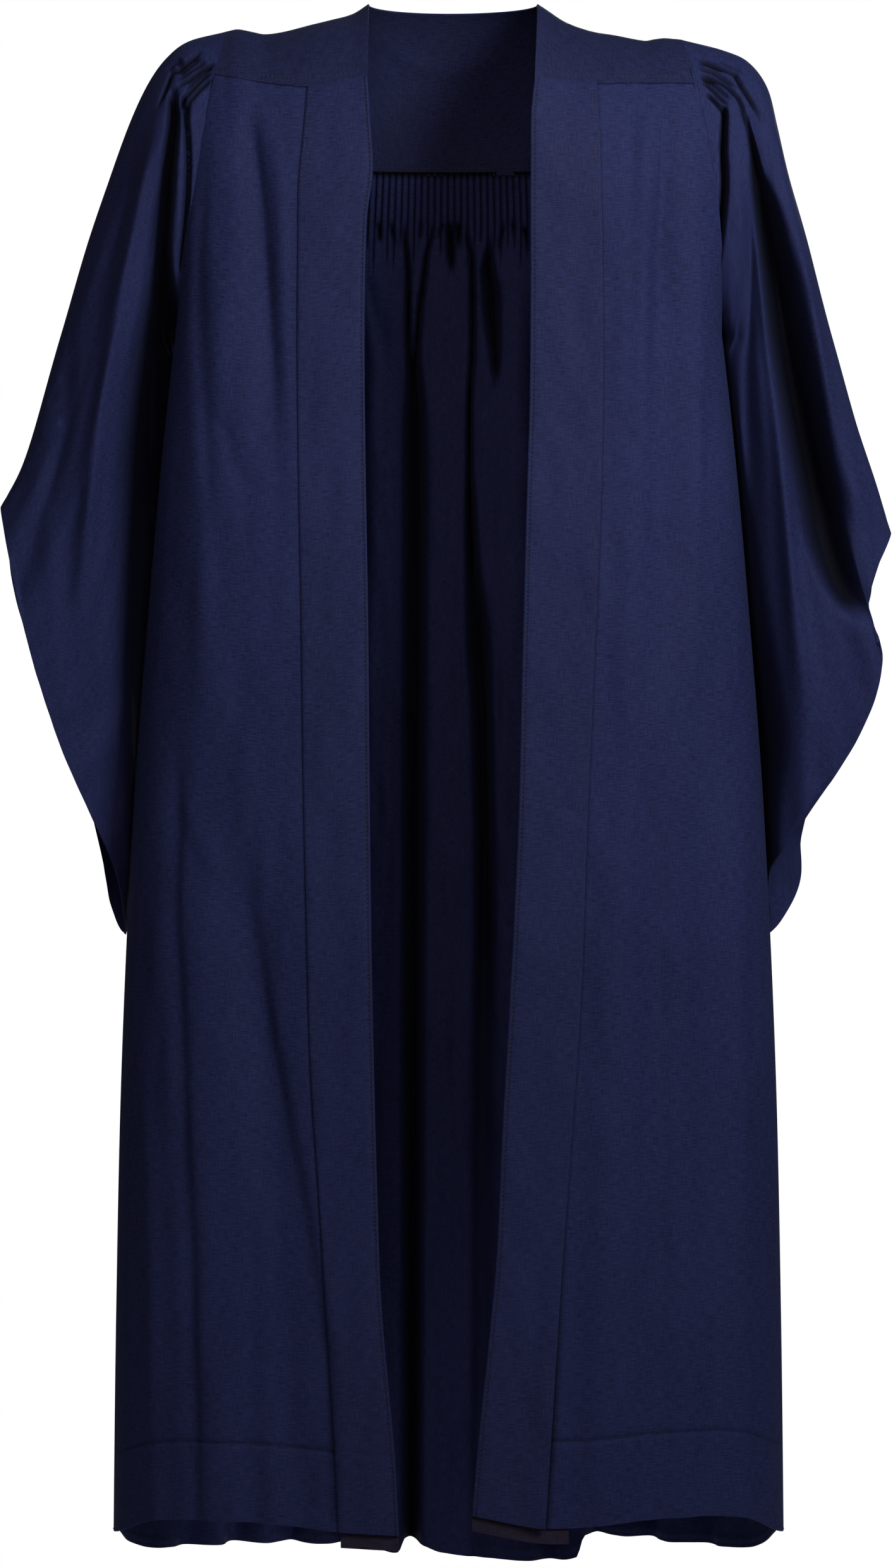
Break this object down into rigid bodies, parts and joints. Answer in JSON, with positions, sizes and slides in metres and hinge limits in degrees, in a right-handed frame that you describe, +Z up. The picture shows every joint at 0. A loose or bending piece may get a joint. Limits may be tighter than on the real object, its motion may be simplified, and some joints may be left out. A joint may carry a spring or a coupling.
{
  "type": "graduation gown",
  "caption": "Open-front graduation gown with a yoke, a fluted back and pointed bell sleeves, hollow as when worn.",
  "frame": {"origin": "mid-way between the shoulders, level with the tops of the armholes, in the plane of the wearer's shoulder line; the wearer's shoulders hold the gown up here", "axes": "+Z up, -Y towards the open front, +X towards the wearer's left arm"},
  "size_m": [0.692, 0.2759, 1.226],
  "materials": {
    "gown_cloth": "navy wool-blend poplin, fine slubby weave, soft sheen",
    "yoke_cloth": "the same navy cloth, double and smoothly pressed",
    "band_cloth": "the same navy cloth, interfaced and pressed flat",
    "facing_cloth": "dull dark violet-brown facing cloth"
  },
  "bodies": {
    "root": {"yoke": "yoke_cloth", "back": "gown_cloth", "front_right": "gown_cloth", "front_left": "gown_cloth", "band_right": "band_cloth", "band_left": "band_cloth", "facing_right": "facing_cloth", "facing_left": "facing_cloth", "sleeve_right": "gown_cloth", "sleeve_left": "gown_cloth"}
  },
  "joints": []
}
